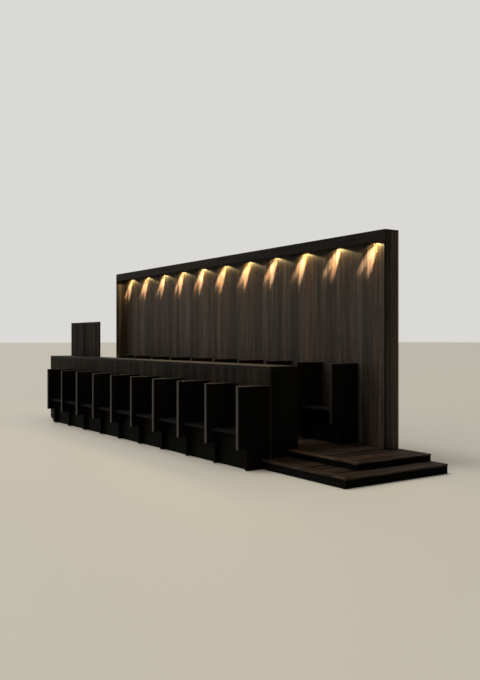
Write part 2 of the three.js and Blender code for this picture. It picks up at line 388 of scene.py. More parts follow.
    def _wood(self, tree: Tree, rings: Socket, streaks: Node, fibres: Node) -> Node:
        """Mixes the stained ground of the wood, a little different from board to board.

        Args:
            tree: The material's tree.
            rings: The growth rings.
            streaks: The broad streaks of the stain.
            fibres: The fine fibres.

        Returns:
            The node that gives the colour of the wood before wear and pores.
        """
        ringed = add_node(tree, "ShaderNodeMath", {"operation": "MULTIPLY"},
                          {0: rings, 1: self.ring_share})
        fibred = add_node(tree, "ShaderNodeMath", {"operation": "MULTIPLY_ADD"},
                          {0: fibres, 1: self.fibre_share, 2: ringed})
        spread = add_node(tree, "ShaderNodeMapRange", inputs={
            "Value": streaks, "From Min": self.streak_edges[0], "From Max": self.streak_edges[1],
            "To Min": self.streak_shares[0] * self.contrast,
            "To Max": self.streak_shares[1] * self.contrast})
        pattern = add_node(tree, "ShaderNodeMath", {"operation": "ADD", "use_clamp": True},
                           {0: fibred, 1: spread})
        wood = add_node(tree, "ShaderNodeMix", {"data_type": "RGBA"}, {
            SHARE: pattern, FIRST: linear(self.stain), SECOND: linear(self.ring)}).outputs[MIXED]
        tone = add_node(tree, "ShaderNodeAttribute", {"attribute_name": BOARD_TONE}).outputs["Fac"]
        value = add_node(tree, "ShaderNodeMapRange", inputs={
            "Value": tone, "To Min": 1 + self.tone_change[0] * self.contrast,
            "To Max": 1 + self.tone_change[1] * self.contrast})
        # The board's tone, folded to and fro, serves as a second draw for how warm the board is
        folded = add_node(tree, "ShaderNodeMath", {"operation": "PINGPONG"}, {0: tone, 1: self.warmth_fold})
        warmth = add_node(tree, "ShaderNodeMapRange", inputs={
            "Value": folded, "From Max": self.warmth_fold, "To Min": self.warmths[0],
            "To Max": self.warmths[1]})
        return add_node(tree, "ShaderNodeHueSaturation", inputs={
            "Value": value, "Saturation": warmth, "Color": wood})


@dataclass(frozen=True)
class SawnSoftwood(Finish):
    """Softwood battens straight from the saw, grey-brown with a thin coat of dark primer.

    The eye gets a dry brown surface with broad soft rings and the fine ridges that the saw left across the
    grain.
    """

    name: str = "sawn_primed_softwood"
    early: int = 0x6B5139
    late: int = 0x4A3626
    roughness: float = 0.82
    ior: float = 1.48
    tones: tuple[float, float] = (0.8, 1.2)
    relief: float = 0.0005
    relief_strength: float = 0.6
    # Saw marks of 2 mm and growth rings of 4 mm, drawn wider so that they show
    saw_mark_spacing: float = 0.004
    saw_mark_bend: float = 1.5
    rings: GrowthRings = GrowthRings(0.011, RingEdge.BLURRED, drawn_out=0.06, bend=4.0, bend_scale=0.5)

    def surface(self, tree: Tree) -> dict:
        """Lays out the rings, the batten's tone and the saw marks.

        Args:
            tree: The material's tree.

        Returns:
            What each socket of the surface shader takes.
        """
        place = add_node(tree, "ShaderNodeAttribute", {"attribute_name": GRAIN_PLACE}).outputs["Vector"]
        tone = add_node(tree, "ShaderNodeAttribute", {"attribute_name": BOARD_TONE}).outputs["Fac"]
        ringed = add_node(tree, "ShaderNodeMix", {"data_type": "RGBA"}, {
            SHARE: self.rings.draw(tree, place), FIRST: linear(self.early),
            SECOND: linear(self.late)}).outputs[MIXED]
        value = add_node(tree, "ShaderNodeMapRange", inputs={
            "Value": tone, "To Min": self.tones[0], "To Max": self.tones[1]})
        colour = add_node(tree, "ShaderNodeHueSaturation", inputs={"Value": value, "Color": ringed})
        marks = add_node(tree, "ShaderNodeTexWave", {"wave_type": "BANDS", "bands_direction": "X"}, {
            "Vector": place, "Scale": 1 / (WAVES_PER_UNIT * self.saw_mark_spacing),
            "Distortion": self.saw_mark_bend})
        relief = add_node(tree, "ShaderNodeBump", inputs={
            "Strength": self.relief_strength, "Distance": self.relief, "Height": marks.outputs["Fac"]})
        return {"Base Color": colour, "Roughness": self.roughness, "IOR": self.ior, "Normal": relief}


@dataclass(frozen=True)
class PowderCoatedSteel(Finish):
    """Folded and turned steel with a black powder coat.

    The eye gets an even near-black satin with the faint orange peel that baked powder leaves.
    """

    name: str = "black_powder_coated_steel"
    colour: int = 0x191716
    dust: int = 0x2C2926
    roughness: float = 0.42
    roughness_change: tuple[float, float] = (-0.08, 0.1)
    # Orange peel of about 1 mm
    peel_size: float = 0.0012
    relief: float = 0.0002
    relief_strength: float = 0.25
    # Drifts of dust some 7 cm wide
    dust_scale: float = 14.0
    dust_detail: float = 4.0

    def surface(self, tree: Tree) -> dict:
        """Lays out the coat, the dust on it and its orange peel.

        Args:
            tree: The material's tree.

        Returns:
            What each socket of the surface shader takes.
        """
        place = add_node(tree, "ShaderNodeTexCoord").outputs["Object"]
        peel = add_node(tree, "ShaderNodeTexNoise", inputs={
            "Vector": place, "Scale": 1 / self.peel_size, "Detail": 1.0})
        dust = add_node(tree, "ShaderNodeTexNoise", inputs={
            "Vector": place, "Scale": self.dust_scale, "Detail": self.dust_detail})
        colour = add_node(tree, "ShaderNodeMix", {"data_type": "RGBA"}, {
            SHARE: dust, FIRST: linear(self.colour), SECOND: linear(self.dust)}).outputs[MIXED]
        roughness = add_node(tree, "ShaderNodeMapRange", inputs={
            "Value": dust, "To Min": self.roughness + self.roughness_change[0],
            "To Max": self.roughness + self.roughness_change[1]})
        relief = add_node(tree, "ShaderNodeBump", inputs={
            "Strength": self.relief_strength, "Distance": self.relief, "Height": peel})
        return {"Base Color": colour, "Roughness": roughness, "Normal": relief}


@dataclass(frozen=True)
class ZincPlatedSteel(Finish):
    """Screws of steel with a thin bright zinc plating, dulled by years behind the panelling.

    The eye gets a small cool glint, cloudy where the plating has gone grey.
    """

    name: str = "dull_zinc_plated_steel"
    bright: int = 0xB9BBB8
    dull: int = 0x80807C
    roughness: float = 0.38
    roughness_change: tuple[float, float] = (-0.1, 0.12)
    # Grey clouds some 5 mm wide, about a screw head each
    cloud_scale: float = 180.0
    cloud_detail: float = 3.0

    def surface(self, tree: Tree) -> dict:
        """Lays out the clouded plating.

        Args:
            tree: The material's tree.

        Returns:
            What each socket of the surface shader takes.
        """
        place = add_node(tree, "ShaderNodeTexCoord").outputs["Object"]
        cloud = add_node(tree, "ShaderNodeTexNoise", inputs={
            "Vector": place, "Scale": self.cloud_scale, "Detail": self.cloud_detail})
        colour = add_node(tree, "ShaderNodeMix", {"data_type": "RGBA"}, {
            SHARE: cloud, FIRST: linear(self.bright), SECOND: linear(self.dull)}).outputs[MIXED]
        roughness = add_node(tree, "ShaderNodeMapRange", inputs={
            "Value": cloud, "To Min": self.roughness + self.roughness_change[0],
            "To Max": self.roughness + self.roughness_change[1]})
        return {"Base Color": colour, "Metallic": 1.0, "Roughness": roughness}


@dataclass(frozen=True)
class LitLens(Finish):
    """A pressed glass lens over a warm lamp that is switched on.

    The eye gets a small yellow-white disc, hottest in the middle and amber at its rim.
    """

    name: str = "lit_pressed_glass_lens"
    centre: int = 0xFFE9B8
    rim: int = 0xFFB45A
    strength: float = 9.0
    roughness: float = 0.2
    ior: float = 1.52

    def surface(self, tree: Tree) -> dict:
        """Lays out the glow, from the middle to the rim.

        Args:
            tree: The material's tree.

        Returns:
            What each socket of the surface shader takes.
        """
        outwards = add_node(tree, "ShaderNodeAttribute", {"attribute_name": FROM_AXIS}).outputs["Fac"]
        colour = add_node(tree, "ShaderNodeMix", {"data_type": "RGBA"}, {
            SHARE: outwards, FIRST: linear(self.centre), SECOND: linear(self.rim)}).outputs[MIXED]
        return {"Base Color": colour, "Emission Color": colour, "Emission Strength": self.strength,
                "Roughness": self.roughness, "IOR": self.ior}


@dataclass(frozen=True)
class PaleFloor(Finish):
    """A plain painted studio floor, which the eye gets as pale, matt and even."""

    name: str = "plain_pale_floor"
    colour: int = 0xB6B0A2
    roughness: float = 0.6

    def surface(self, tree: Tree) -> dict:
        """Gives the floor's colour and gloss.

        Args:
            tree: The material's tree, which needs no more nodes.

        Returns:
            What each socket of the surface shader takes.
        """
        return {"Base Color": linear(self.colour), "Roughness": self.roughness}


class Finishes:
    """Every finish on the bank, made once."""

    def __init__(self) -> None:
        """Makes the materials."""
        # Oiled boards in the lamps' light: clear brown rings and a broad soft gloss
        self.panelling = StainedOak("oiled_panelling_oak", stain=0x18140F, ring=0x4C3D30, rubbed=0x56463A,
                                    roughness=0.52, wear=0.25, shine=0.2, contrast=1.1,
                                    drawn_gloss=0.3).make()
        # Nearly black boards with brown streaks, and hardly any gloss
        self.joinery = StainedOak("stained_joinery_oak", stain=0x080706, ring=0x2A2117, rubbed=0x3E3428,
                                  roughness=0.58, wear=0.5, shine=0.07, contrast=1.4).make()
        # Almost black, with the grain only just to be seen: a darker copy of the oak, painted shade for the
        # dividers, the seats and the desk's ends
        self.shaded = StainedOak("painted_shade_oak", stain=0x050504, ring=0x13100D, rubbed=0x241F1A,
                                 roughness=0.62, wear=0.4, shine=0.04).make()
        # The same without oil, black and flat: painted shade for the recessed bases and the platform's
        # risers, with arrises that shoes scuff
        self.plinth = StainedOak("matt_plinth_oak", stain=0x050504, ring=0x0F0D0B, rubbed=0x28231E,
                                 roughness=0.7, wear=0.4, shine=0.03).make()
        # Grey-brown strips, paler and glossier than the boards that they edge: the paleness is a painted
        # highlight for the light that the dividers' front and top edges catch
        self.lipping = StainedOak("painted_highlight_lipping_oak", stain=0x1C1916, ring=0x3C372F, rubbed=0x5E574B,
                                  roughness=0.44, wear=0.6, shine=0.3).make()
        # Black planks that hands have polished, with brown arrises
        self.handled = StainedOak("hand_polished_oak", stain=0x080706, ring=0x1B1611, rubbed=0x3C332A,
                                  roughness=0.5, wear=0.7, shine=0.07).make()
        # Dark reddish floor boards that differ from each other, with pale wear along their joints
        self.trodden = StainedOak("trodden_platform_oak", stain=0x0B0908, ring=0x2A1E16, rubbed=0x7A614A,
                                  roughness=0.46, wear=0.9, shine=0.05, contrast=1.9,
                                  wear_width=0.008).make()
        self.softwood = SawnSoftwood().make()
        self.steel = PowderCoatedSteel().make()
        self.zinc = ZincPlatedSteel().make()
        self.lens = LitLens().make()


@dataclass(frozen=True)
class Boarding:
    """How a field is boarded.

    side is the direction in which the boards follow each other, width the width that a board should have,
    joint the gap between two boards and length the greatest length of one, or zero where each runs through.
    """

    side: Axis
    width: float
    grain: Axis
    arris: float = EASED
    joint: float = 0.0006
    length: float = 0.0


class Gathered:
    """Small shapes of one finish, gathered into one mesh."""

    def __init__(self, name: str) -> None:
        """Starts empty, with random draws that follow the name."""
        self.name = name
        self.draw = random.Random(name)
        self.points: list[Vector] = []
        self.faces: list[list[int]] = []

    def take(self, shape: bmesh.types.BMesh) -> range:
        """Moves a shape's points and faces into the gathered mesh.

        Args:
            shape: The shape, which is freed.

        Returns:
            The numbers of its points in the gathered mesh.
        """
        start = len(self.points)
        shape.verts.index_update()
        self.points += [v.co.copy() for v in shape.verts]
        self.faces += [[start + v.index for v in f.verts] for f in shape.faces]
        shape.free()
        return range(start, len(self.points))

    def turned(self, section: Outline, centre: Corner, axis: Axis = Axis.UPRIGHT, sides: int = 32) -> None:
        """Adds a turned shape.

        Args:
            section: Radius and height of each point of the outline, from axis to axis.
            centre: The point on the axis that heights are counted from.
            axis: The direction of the axis.
            sides: How many faces go round.
        """
        shape = bmesh.new()
        rings = []
        for radius, height in section:
            spokes = round_outline(radius, sides if radius > 0 else 1)
            rings.append([shape.verts.new(axis.lift(spoke, height) + Vector(centre)) for spoke in spokes])
        for lower, upper in zip(rings, rings[1:]):
            for k in range(sides):
                loop = [lower[k % len(lower)], lower[(k + 1) % len(lower)],
                        upper[(k + 1) % len(upper)], upper[k % len(upper)]]
                shape.faces.new(list(dict.fromkeys(loop)))
        bmesh.ops.recalc_face_normals(shape, faces=shape.faces)
        self.take(shape)

    def prism(self, outline: Outline, along: Axis, low: float, high: float, arris: float) -> range:
        """Adds a straight length of one section, with its edges eased.

        Args:
            outline: The section's corners, square to the axis.
            along: The direction that it runs in.
            low: Where it starts.
            high: Where it ends.
            arris: The radius of its eased edges.

        Returns:
            The numbers of its points in the gathered mesh.
        """
        shape = bmesh.new()
        first = [shape.verts.new(along.lift(p, low)) for p in outline]
        last = [shape.verts.new(along.lift(p, high)) for p in outline]
        shape.faces.new(first[::-1])
        shape.faces.new(last)
        for i, corner in enumerate(first):
            j = (i + 1) % len(first)
            shape.faces.new([corner, first[j], last[j], last[i]])
        bmesh.ops.recalc_face_normals(shape, faces=shape.faces)
        if arris > 0:
            sharp = math.radians(35)
            edges = [e for e in shape.edges if e.calc_face_angle(0) > sharp]
            bmesh.ops.bevel(shape, geom=edges, offset=arris, offset_type="OFFSET", segments=2, profile=0.5,
                            affect="EDGES", clamp_overlap=True)
        return self.take(shape)

    def build(self, finish: Material) -> bpy.types.Object:
        """Makes the mesh object, smooth over its eased edges.

        Args:
            finish: The material.

        Returns:
            The object, linked to the scene.
        """
        mesh = bpy.data.meshes.new(self.name)
        mesh.from_pydata(self.points, [], self.faces)
        mesh.materials.append(finish)
        mesh.shade_smooth()
        thing = bpy.data.objects.new(self.name, mesh)
        bpy.context.scene.collection.objects.link(thing)
        eased = thing.modifiers.new("eased_normals", "WEIGHTED_NORMAL")
        eased.weight = 100
        return thing

    def piece(self, finish: Material, slot: Slot | None = None, *nodes: str) -> bpy.types.Object:
        """Makes the object, puts it on the part's body and reports it.

        Args:
            finish: The material.
            slot: The record's material slot that it takes its finish from, if it has one; not used.
            nodes: The nodes of the model that it stands for.

        Returns:
            The piece.
        """
        thing = self.build(finish)
        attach(thing, BODY)
        if nodes:
            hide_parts(*nodes)
        log.info("%s: %d faces, for %s", thing.name, len(thing.data.polygons), ", ".join(nodes) or "trim")
        return thing


class Timber(Gathered):
    """Boards sawn and planed to size, each with its own place in the grain and its own tone."""

    def __init__(self, name: str) -> None:
        """Starts an empty pile of boards."""
        super().__init__(name)
        self.places: list[Vector] = []
        self.lows: list[Vector] = []
        self.highs: list[Vector] = []
        self.ways: list[Vector] = []
        self.tones: list[float] = []

    def shaped(self, outline: Outline, along: Axis, low: float, high: float, grain: Axis,
               arris: float) -> None:
        """Adds a board of any section.

        Args:
            outline: The section's corners, square to the axis.
            along: The direction that the section runs in.
            low: Where it starts.
            high: Where it ends.
            grain: The direction of the grain.
            arris: The radius of its eased edges.
        """
        points = [self.points[i] for i in self.prism(outline, along, low, high, arris)]
        least = Vector([min(p[k] for p in points) for k in range(3)])
        most = Vector([max(p[k] for p in points) for k in range(3)])
        middle = (least + most) / 2
        heart = Vector([self.draw.uniform(*reach) for reach in CUT_FROM])
        way = Vector([float(k == grain.value) for k in range(3)])
        self.places += [grain.turned(p - middle) + heart for p in points]
        self.lows += [p - least for p in points]
        self.highs += [most - p for p in points]
        self.ways += [way] * len(points)
        self.tones += [self.draw.random()] * len(points)

    def board(self, low: Corner, high: Corner, grain: Axis, arris: float = EASED) -> None:
        """Adds a plain board between two corners.

        Args:
            low: Its lowest corner.
            high: Its highest corner.
            grain: The direction of the grain.
            arris: The radius of its eased edges.
        """
        outline = [(low[1], low[2]), (high[1], low[2]), (high[1], high[2]), (low[1], high[2])]
        self.shaped(outline, Axis.ALONG, low[0], high[0], grain, arris)

    def boards(self, low: Corner, high: Corner, boarding: Boarding) -> None:
        """Adds boards of nearly one width, side by side between two corners.

        Args:
            low: The lowest corner of the whole.
            high: The highest corner of the whole.
            boarding: How they are cut and laid.
        """
        side = boarding.side.value
        count = max(1, round((high[side] - low[side]) / boarding.width))
        step = (high[side] - low[side]) / count
        for i in range(count):
            start, end = list(low), list(high)
            start[side] = low[side] + i * step + (boarding.joint / 2 if i else 0)
            end[side] = low[side] + (i + 1) * step - (boarding.joint / 2 if i < count - 1 else 0)
            self._lengths(start, end, boarding, i)

    def _lengths(self, low: list[float], high: list[float], boarding: Boarding, number: int) -> None:
        """Cuts one run of board into lengths whose joints are staggered from run to run.

        Args:
            low: The lowest corner of the run.
            high: The highest corner of the run.
            boarding: How the boards are cut.
            number: The run's number, which sets the stagger.
        """
        way, length = boarding.grain.value, boarding.length
        start, end = low[way], high[way]
        cuts = [start, end]
        if length:
            first = start + length * (FIRST_SHARE + FIRST_RANGE * ((number * GOLDEN_STEP) % 1))
            extra = [first + k * length for k in range(math.ceil((end - first) / length))]
            cuts = [start, *[c for c in extra if c < end - length / 4], end]
        for k, (near, far) in enumerate(zip(cuts, cuts[1:])):
            low[way] = near + (boarding.joint / 2 if k else 0)
            high[way] = far - (boarding.joint / 2 if k < len(cuts) - 2 else 0)
            self.board(low, high, boarding.grain, boarding.arris)

    def build(self, finish: Material) -> bpy.types.Object:
        """Makes the mesh object and stores each point's place in its board.

        Args:
            finish: The material.

        Returns:
            The object, linked to the scene.
        """
        thing = super().build(finish)
        held = {GRAIN_PLACE: self.places, FROM_LOW: self.lows, FROM_HIGH: self.highs, GRAIN_WAY: self.ways}
        for name, values in held.items():
            layer = thing.data.attributes.new(name, "FLOAT_VECTOR", "POINT")
            layer.data.foreach_set("vector", [c for value in values for c in value])
        thing.data.attributes.new(BOARD_TONE, "FLOAT", "POINT").data.foreach_set("value", self.tones)
        return thing


def standing(left: float, right: float, over: float) -> list[tuple[float, float, float]]:
    """Splits a run of upright boards at the platform's far edge, past which they stand on the floor.

    Args:
        left: Where the run starts.
        right: Where it ends.
        over: The height of the boards' feet over the platform.

    Returns:
        For each part of the run, where it starts, where it ends and how high its feet are.
    """
    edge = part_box("lower_platform")[0].x
    clear = 0.0003
    if left >= edge:
        return [(left, right, over)]
    return [(left, edge - clear, 0.0), (edge + clear, right, over)]


@dataclass
class Assembly:
    """One part of the bank, built round the boxes of the model's nodes with the bank's finishes."""

    finishes: Finishes

    def build(self) -> None:
        """Builds the assembly's pieces."""
        raise NotImplementedError

    def filled(self, node: str, ending: str, boarding: Boarding, finish: Material) -> None:
        """Builds one node as boards that fill its box.

        Args:
            node: The model's node.
            ending: What the piece's name has after the node's.
            boarding: How the boards are cut and laid.
            finish: Their finish.
        """
        timber = Timber(f"{node}_{ending}")
        timber.boards(*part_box(node), boarding)
        timber.piece(finish, Slot.OAK, node)


@dataclass
class Platform(Assembly):
    """The stepped floor that the bank stands on: boards across it, with a nosing round each open edge."""

    boarding: Boarding = Boarding(Axis.ALONG, 0.145, Axis.DEEP, joint=0.0015)
    risers: Boarding = Boarding(Axis.UPRIGHT, WHOLE, Axis.ALONG, length=2.4)
    board_thickness: float = 0.022
    nosing_width: float = 0.07
    nosing_arris: float = 0.004
    riser_setback: float = 0.008
    pellet_radius: float = 0.006
    pellet_sides: int = 10
    pellet_inset: float = 0.035
    pellet_proud: float = 0.0003

    def build(self) -> None:
        """Builds the lower platform and the deck on it."""
        for node in ("lower_platform", "upper_deck"):
            self._stage(node)

    def _stage(self, node: str) -> None:
        """Builds one level.

        Args:
            node: The model's node for it.
        """
        low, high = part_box(node)
        timber = Timber(f"{node}_boards")
        self._nosing(timber, low, high)
        top_low = (low.x + self.nosing_width, low.y + self.nosing_width, high.z - self.board_thickness)
        top_high = (high.x - self.nosing_width, high.y, high.z)
        timber.boards(top_low, top_high, self.boarding)
        timber.piece(self.finishes.trodden, Slot.PLATFORM, node)
        self._risers(f"{node}_risers", low, high)
        self._pellets(f"{node}_pellets", top_low, top_high)

    def _risers(self, name: str, low: Vector, high: Vector) -> None:
        """Adds the upright boards under the nosing, and a closing board at the wall side.

        Args:
            name: The piece's name.
            low: The level's lowest corner.
            high: The level's highest corner.
        """
        timber = Timber(name)
        depth, gap = self.board_thickness, self.boarding.joint
        under = high.z - depth
        front = low.y + self.riser_setback
        near, far = high.x - self.riser_setback, low.x + self.riser_setback
        for face, back in ((front, front + depth), (high.y - depth, high.y)):
            timber.boards((far, face, low.z), (near, back, under), self.risers)
        for x in (far, near - depth):
            timber.board((x, front + depth + gap, low.z), (x + depth, high.y - depth - gap, under),
                         Axis.DEEP)
        # The black plinth finish is painted shade for the risers
        timber.piece(self.finishes.plinth, Slot.PLATFORM)

    def _nosing(self, timber: Timber, low: Vector, high: Vector) -> None:
        """Adds the mitred border boards along the front and both ends.

        Args:
            timber: The level's boards.
            low: The level's lowest corner.
            high: The level's highest corner.
        """
        under, top = high.z - self.board_thickness, high.z
        wide, gap = self.nosing_width, self.boarding.joint / 2
        front = [(low.x + gap, low.y), (high.x - gap, low.y), (high.x - wide - gap, low.y + wide - gap),
                 (low.x + wide + gap, low.y + wide - gap)]
        near = [(high.x, low.y + gap), (high.x, high.y), (high.x - wide + gap, high.y),
                (high.x - wide + gap, low.y + wide + gap)]
        far = [(low.x, low.y + gap), (low.x + wide - gap, low.y + wide + gap), (low.x + wide - gap, high.y),
               (low.x, high.y)]
        for outline, grain in ((front, Axis.ALONG), (near, Axis.DEEP), (far, Axis.DEEP)):
            timber.shaped(outline, Axis.UPRIGHT, under, top, grain, self.nosing_arris)

    def _pellets(self, name: str, low: Corner, high: Corner) -> None:
        """Adds the wooden plugs that hide the screws at both ends of each board.

        Args:
            name: The piece's name.
            low: The lowest corner of the boarded field.
            high: Its highest corner.
        """
        timber = Timber(name)
        count = round((high[0] - low[0]) / self.boarding.width)
        step = (high[0] - low[0]) / count
        sunk, proud = high[2] - 4 * self.pellet_proud, high[2] + self.pellet_proud
        for i in range(count):
            for side in (-1, 1):
                x = low[0] + (i + 0.5) * step + side * (step / 2 - self.pellet_inset)
                for y in (low[1] + self.pellet_inset, high[1] - self.pellet_inset):
                    outline = round_outline(self.pellet_radius, self.pellet_sides, x, y)
                    timber.shaped(outline, Axis.UPRIGHT, sunk, proud, Axis.DEEP, 0.0)
        timber.piece(self.finishes.trodden, Slot.PLATFORM)


@dataclass
class SeatRow(Assembly):
    """One row of nine places: a plinth with feet, a bench and ten dividers."""

    row: str
    foot_recess: float = 0.13
    plinth_recess: float = 0.185
    riser_recess: float = 0.19
    riser_board: float = 0.025
    seat_recess: float = 0.06
    seat_board: float = 0.035
    seat_nose: float = 0.011
    seat_under_ease: float = 0.002
    staves: Boarding = Boarding(Axis.DEEP, 0.135, Axis.ALONG, arris=0.0006, joint=0.0008)
    lipping: float = 0.012
    core_arris: float = 0.0008
    joint: float = 0.0008

    def __post_init__(self) -> None:
        """Reads the row's places from the model."""
        self.dividers = [f"{self.row}_divider_{i + 1:02d}" for i in range(SEATS + 1)]
        self.boxes = [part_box(name) for name in self.dividers]
        self.centres = sorted((low.x + high.x) / 2 for low, high in self.boxes)
        first_low, first_high = self.boxes[0]
        self.front, self.back = first_low.y, first_high.y
        self.foot, self.top = first_low.z, first_high.z
        self.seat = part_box(f"{self.row}_bench")[1].z

    def build(self) -> None:
        """Builds the row."""
        self._plinth()
        self._bench()
        for number in range(SEATS + 1):
            self._divider(number)
        self._lippings()

    def _plinth(self) -> None:
        """Builds the base, in lengths that meet behind the feet and are notched over the platform's edge."""
        node = f"{self.row}_plinth"
        low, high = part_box(node)
        edge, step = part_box("lower_platform")[0].y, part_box("lower_platform")[1].z
        face = self.front + self.plinth_recess
        rear = [(high.y, low.z)]
        if low.z < step:
            rear = [(edge, low.z), (edge, step), (high.y, step)]
        outline = [(face, low.z), *rear, (high.y, high.z), (face, high.z)]
        timber = Timber(f"{node}_boards")
        cuts = [low.x, *self.centres[1:-1:2], high.x]
        for start, end in zip(cuts, cuts[1:]):
            timber.shaped(outline, Axis.ALONG, start + self.joint / 2, end - self.joint / 2, Axis.ALONG,
                          EASED)
        for box_low, box_high in self.boxes:
            timber.board((box_low.x, self.front + self.foot_recess, low.z),
                         (box_high.x, face - self.joint, self.foot - self.joint), Axis.UPRIGHT)
        # The black plinth finish is painted shade for the recessed base and its feet
        timber.piece(self.finishes.plinth, Slot.OAK, node)

    def _bench(self) -> None:
        """Builds the seat of glued staves with a rounded front edge, and the riser under it."""
        node = f"{self.row}_bench"
        low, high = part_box(node)
        timber = Timber(f"{node}_boards")
        under = high.z - self.seat_board
        front = self.front + self.seat_recess
        width = (high.y - front) / round((high.y - front) / self.staves.width)
        turns = [math.radians(angle) for angle in range(0, 91, 15)]
        nose = [(front + self.seat_nose - self.seat_nose * math.cos(turn),
                 high.z - self.seat_nose + self.seat_nose * math.sin(turn)) for turn in turns]
        first = [(front + self.seat_under_ease, under), (front, under + self.seat_under_ease), *nose,
                 (front + width - self.joint / 2, high.z), (front + width - self.joint / 2, under)]
        riser = self.front + self.riser_recess
        cuts = [low.x, *self.centres[1:-1], high.x]
        for start, end in zip(cuts, cuts[1:]):
            left, right = start + self.joint / 2, end - self.joint / 2
            timber.shaped(first, Axis.ALONG, left, right, Axis.ALONG, self.staves.arris)
            timber.boards((left, front + width + self.joint / 2, under), (right, high.y, high.z),
                          self.staves)
            timber.board((left, riser, low.z), (right, riser + self.riser_board, under - self.joint),
                         Axis.ALONG)
        # The near-black finish is painted shade for the seat between the dividers
        timber.piece(self.finishes.shaded, Slot.OAK, node)

    def _divider(self, number: int) -> None:
        """Builds the upright core of one divider, cut round the seat where the seat runs through it.

        Args:
            number: Its place in the row, from the open end.
        """
        node = self.dividers[number]
        low, high = self.boxes[number]
        front, back = self.front + self.lipping + self.joint, self.back
        under = self.top - self.lipping - self.joint
        lower_edge = [(front, self.foot), (back, self.foot)]
        if 0 < number < SEATS:
            below = self.seat - self.seat_board
            nose = self.front + self.seat_recess
            riser = self.front + self.riser_recess
            lower_edge = [(front, self.foot), (riser, self.foot), (riser, below), (nose, below),
                          (nose, self.seat), (back, self.seat)]
        timber = Timber(f"{node}_board")
        timber.shaped([*lower_edge, (back, under), (front, under)], Axis.ALONG, low.x, high.x, Axis.UPRIGHT,
                      self.core_arris)
        # The near-black finish is painted shade for the divider's faces
        timber.piece(self.finishes.shaded, Slot.OAK, node)

    def _lippings(self) -> None:
        """Builds the strips on the dividers' front and top edges, mitred where they meet; their paler finish
        is a painted highlight.
        """
        timber = Timber(f"{self.row}_divider_lippings")
        front, back, top, thick = self.front, self.back, self.top, self.lipping
        upright = [(front, self.foot), (front + thick, self.foot), (front + thick, top - thick),
                   (front, top)]
        level = [(front + self.joint, top), (front + thick + self.joint, top - thick), (back, top - thick),
                 (back, top)]
        for low, high in self.boxes:
            timber.shaped(upright, Axis.ALONG, low.x, high.x, Axis.UPRIGHT, EASED)
            timber.shaped(level, Axis.ALONG, low.x, high.x, Axis.DEEP, EASED)
        # The paler finish is a painted highlight for the light that these edges catch
        timber.piece(self.finishes.lipping, Slot.OAK)


@dataclass
class BookDesk(Assembly):
    """The long desk between the rows: upright boards to the nave, a planked top and a shelf to the aisle."""

    uprights: Boarding = Boarding(Axis.ALONG, 0.1, Axis.UPRIGHT, arris=0.0018)
    ends: Boarding = Boarding(Axis.DEEP, 0.13, Axis.UPRIGHT, arris=0.001, joint=0.0008)
    top: Boarding = Boarding(Axis.DEEP, 0.147, Axis.ALONG, arris=0.002, joint=0.0008, length=2.5)
    shelf: Boarding = Boarding(Axis.DEEP, 0.135, Axis.ALONG, joint=0.0008, length=2.5)
    shelf_bays: int = 4
    backing: float = 0.006
    backing_arris: float = 0.0005
    joint: float = 0.0008

    def build(self) -> None:
        """Builds the desk."""
        self._front()
        self.filled("desk_top", "planks", self.top, self.finishes.handled)
        self._end("desk_end_near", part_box("upper_deck")[1].z)
        self._end("desk_end_far", 0.0)
        self._rear()
        self._shelf()

    def _front(self) -> None:
        """Builds the front of narrow upright boards on a backing sheet."""
        low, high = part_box("desk_front_board")
        face = high.y - self.backing
        timber = Timber("desk_front_boards")
        for left, right, foot in standing(low.x, high.x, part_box("lower_platform")[1].z):
            timber.boards((left, low.y, foot), (right, face - self.joint, high.z), self.uprights)
            timber.board((left, face, foot), (right, high.y, high.z), Axis.UPRIGHT, self.backing_arris)
        timber.piece(self.finishes.joinery, Slot.OAK, "desk_front_board")

    def _end(self, node: str, behind: float) -> None:
        """Builds one end of upright boards, cut under where it stands on a step.

        Args:
            node: The model's node for it.
            behind: The height of its foot behind the line of the deck's edge.
        """
        low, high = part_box(node)
        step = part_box("upper_deck")[0].y
        timber = Timber(f"{node}_boards")
        halves = ((low.y, step - self.joint / 2, low.z), (step + self.joint / 2, high.y, behind))
        for front, back, foot in halves:
            timber.boards((low.x, front, foot), (high.x, back, high.z), self.ends)
        # The near-black finish is painted shade for the desk's end
        timber.piece(self.finishes.shaded, Slot.OAK, node)

    def _rear(self) -> None:
        """Builds the low back of the desk, to the aisle, with its backing sheet inside."""
        low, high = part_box("desk_rear_board")
        timber = Timber("desk_rear_boards")
        timber.boards((low.x, low.y + self.backing + self.joint, low.z), high, self.uprights)
        timber.board(low, (high.x, low.y + self.backing, high.z), Axis.UPRIGHT, self.backing_arris)
        timber.piece(self.finishes.joinery, Slot.OAK, "desk_rear_board")

    def _shelf(self) -> None:
        """Builds the book shelf and the uprights that carry the top over it."""
        low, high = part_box("desk_book_shelf")
        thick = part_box("desk_top")[1].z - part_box("desk_top")[0].z
        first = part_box("high_screen_near")[1].x
        surface = low.z + thick
        timber = Timber("desk_book_shelf_planks")
        timber.boards(low, (high.x, high.y, surface), self.shelf)
        for i in range(self.shelf_bays):
            x = first + i * (high.x - first) / self.shelf_bays
            timber.board((x - thick / 2, low.y, surface), (x + thick / 2, high.y, high.z), Axis.UPRIGHT)
        timber.piece(self.finishes.handled, Slot.OAK, "desk_book_shelf")


